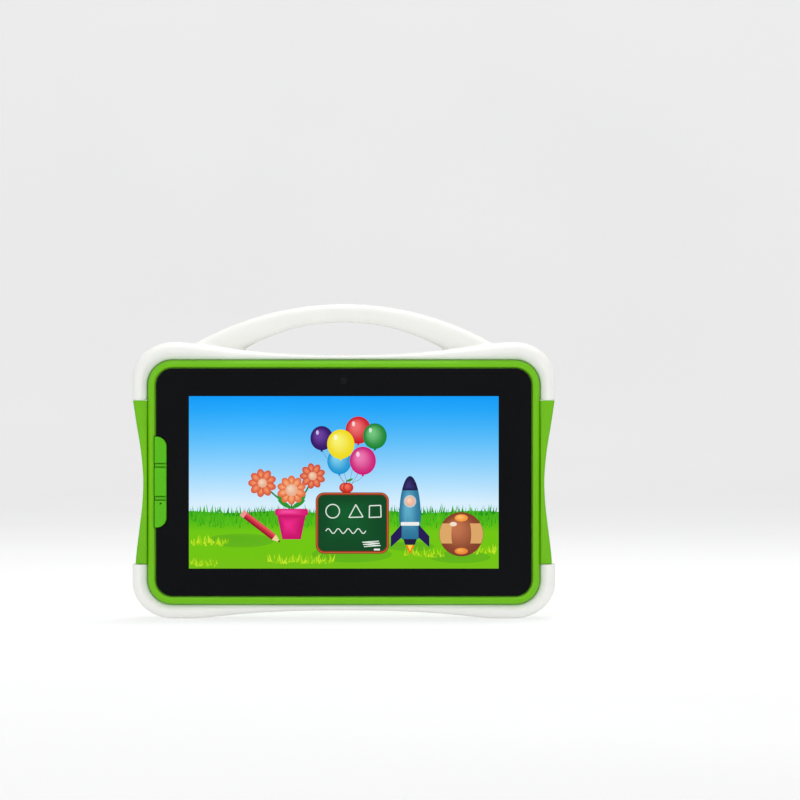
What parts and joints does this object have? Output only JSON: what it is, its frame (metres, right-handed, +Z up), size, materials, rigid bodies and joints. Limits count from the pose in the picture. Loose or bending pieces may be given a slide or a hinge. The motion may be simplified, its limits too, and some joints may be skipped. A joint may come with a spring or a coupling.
{
  "type": "kids toy tablet",
  "caption": "Children's tablet: touch screen in a bumper case with carry handle, side grips, key tab, rear camera, speaker grille and round kickstand.",
  "frame": {"origin": "middle of the footprint, on the surface that the feet of the bottom bumper stand on", "axes": "+Z up, the screen faces -Y, and +X is the right-hand side of the screen seen from the front"},
  "size_m": [0.2106, 0.026, 0.1569],
  "materials": {
    "bumper_white": "soft white moulded rubber-like plastic, satin",
    "grip_green": "soft lime green moulding, satin",
    "bezel_green": "lime green moulded plastic, semi-gloss",
    "cover_green": "lime green moulded plastic, fine satin",
    "key_green": "lime green moulded plastic, semi-gloss",
    "touch_glass": "clear lens with black printed border, glossy",
    "display": "lit colour display",
    "tray_metal": "bare sheet",
    "chassis_metal": "bare sheet",
    "circuit_board": "green solder mask",
    "tin": "tinned sheet",
    "battery_wrap": "silver-grey pouch",
    "antenna_film": "copper-coloured film",
    "flex_film": "amber polyimide film",
    "speaker_black": "black moulded basket and paper cone",
    "foam": "black closed-cell foam",
    "camera_black": "black moulded housing",
    "lens_glass": "coated lens",
    "flash_lens": "milky clear window",
    "led": "phosphor-coated chip",
    "switch_black": "black moulded",
    "port_metal": "plated shell",
    "screw_steel": "black-zinc steel",
    "pin_steel": "bright steel"
  },
  "bodies": {
    "tablet": {"antenna": "antenna_film", "audio_jack": "port_metal", "backlight_tray": "tray_metal", "battery": "battery_wrap", "bottom_bumper": "bumper_white", "card_slot": "port_metal", "chassis": "chassis_metal", "cover_screw_bottom_left": "screw_steel", "cover_screw_bottom_right": "screw_steel", "cover_screw_top_left": "screw_steel", "cover_screw_top_right": "screw_steel", "display_flex": "flex_film", "display_panel": "display", "flash_led": "led", "flash_lens": "flash_lens", "front_bezel": "bezel_green", "front_camera": "camera_black", "key_board": "circuit_board", "key_carrier": "key_green", "kickstand_pin_left": "pin_steel", "kickstand_pin_right": "pin_steel", "left_grip": "grip_green", "main_board": "circuit_board", "microphone": "switch_black", "power_switch": "switch_black", "rear_camera_lens": "lens_glass", "rear_camera_module": "camera_black", "rear_camera_ring": "camera_black", "rear_cover": "cover_green", "right_grip": "grip_green", "shield_can": "tin", "speaker_driver": "speaker_black", "speaker_gasket": "foam", "top_bumper": "bumper_white", "touch_flex": "flex_film", "touch_glass": "touch_glass", "usb_port": "port_metal", "volume_down_switch": "switch_black", "volume_up_switch": "switch_black"},
    "kickstand": {"kickstand": "cover_green"},
    "volume_rocker": {"volume_rocker": "key_green"},
    "power_key": {"power_key": "key_green"}
  },
  "joints": [
    {"name": "kickstand_hinge", "type": "hinge", "parent": "tablet", "child": "kickstand", "pos_m": [0, 0.00942, 0.1126], "axis": [1, 0, 0], "range_deg": [0, 70]},
    {"name": "volume_rocker_tilt", "type": "hinge", "parent": "tablet", "child": "volume_rocker", "pos_m": [-0.09123, -0.0103, 0.08403], "axis": [1, 0, 0], "range_deg": [-3, 3], "stiffness_Nm_per_rad": 0.02},
    {"name": "power_key_press", "type": "slide", "parent": "tablet", "child": "power_key", "axis": [0, 1, 0], "range_m": [0, 0.0004], "stiffness_N_per_m": 1500, "springref_m": -0.0002}
  ]
}
